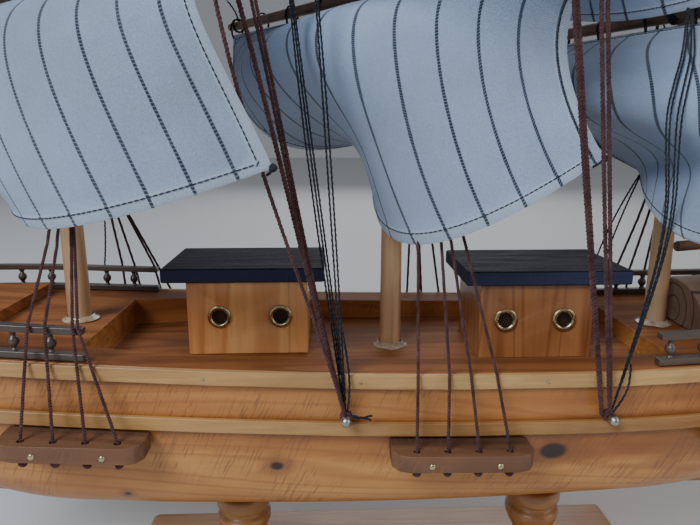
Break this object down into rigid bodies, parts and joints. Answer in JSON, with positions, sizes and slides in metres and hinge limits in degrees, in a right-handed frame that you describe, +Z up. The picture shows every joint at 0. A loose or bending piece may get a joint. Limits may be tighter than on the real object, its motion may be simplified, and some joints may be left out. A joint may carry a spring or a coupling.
{
  "type": "wooden model of a three-masted square-rigged sailing ship on a stand",
  "caption": "Wooden display model of a square-rigged sailing ship with striped cotton sails, deckhouses and rails, held on its base board by turned posts.",
  "frame": {"origin": "centre of the stand base board's underside, on the table under the main mast", "axes": "+X towards the stern, +Y to starboard, +Z up along the masts"},
  "size_m": [0.4888, 0.1509, 0.402],
  "materials": {
    "stand": "satin",
    "hull_wood": "satin varnish",
    "deck_wood": "satin varnish",
    "cabin_wood": "satin",
    "strip_wood": "satin varnish",
    "house_wood": "satin varnish",
    "roof_paint": "matte paint",
    "brass": "polished, a little dull",
    "rail_wood": "satin",
    "channel_wood": "satin",
    "spar_wood": "satin",
    "sailcloth": "matte woven cotton",
    "cord": "matte twisted cord"
  },
  "bodies": {
    "root": {"stand_base": "stand", "stand_post_fore": "stand", "stand_post_aft": "stand", "hull": "hull_wood", "keel": "hull_wood", "rudder": "hull_wood", "fore_plank": "deck_wood", "aft_cabin": "cabin_wood", "upper_strip_port": "strip_wood", "upper_strip_starboard": "strip_wood", "lower_strip_port": "strip_wood", "lower_strip_starboard": "strip_wood", "house_fore": "house_wood", "house_aft": "house_wood", "roof_fore": "roof_paint", "roof_aft": "roof_paint", "eyelet_fore_1": "brass", "eyelet_fore_2": "brass", "eyelet_aft_1": "brass", "eyelet_aft_2": "brass", "rail_fore_port": "rail_wood", "rail_fore_starboard": "rail_wood", "rail_aft_port": "rail_wood", "rail_aft_starboard": "rail_wood", "channel_fore_port": "channel_wood", "channel_fore_starboard": "channel_wood", "channel_main_port": "channel_wood", "channel_main_starboard": "channel_wood", "channel_mizzen_port": "channel_wood", "channel_mizzen_starboard": "channel_wood", "mast_fore": "spar_wood", "mast_main": "spar_wood", "mast_mizzen": "spar_wood", "bowsprit": "spar_wood", "yard_fore_course": "spar_wood", "sail_fore_course": "sailcloth", "yard_fore_topsail": "spar_wood", "sail_fore_topsail": "sailcloth", "yard_fore_topgallant": "spar_wood", "sail_fore_topgallant": "sailcloth", "yard_main_course": "spar_wood", "sail_main_course": "sailcloth", "yard_main_topsail": "spar_wood", "sail_main_topsail": "sailcloth", "yard_main_topgallant": "spar_wood", "sail_main_topgallant": "sailcloth", "yard_mizzen_course": "spar_wood", "sail_mizzen_course": "sailcloth", "yard_mizzen_topsail": "spar_wood", "sail_mizzen_topsail": "sailcloth", "gaff": "spar_wood", "boom": "spar_wood", "sail_spanker": "sailcloth", "sail_jib_outer": "sailcloth", "sail_jib_inner": "sailcloth", "stay_outer_jib": "cord", "stay_inner_jib": "cord", "stay_main": "cord", "stay_mizzen": "cord"}
  },
  "joints": []
}
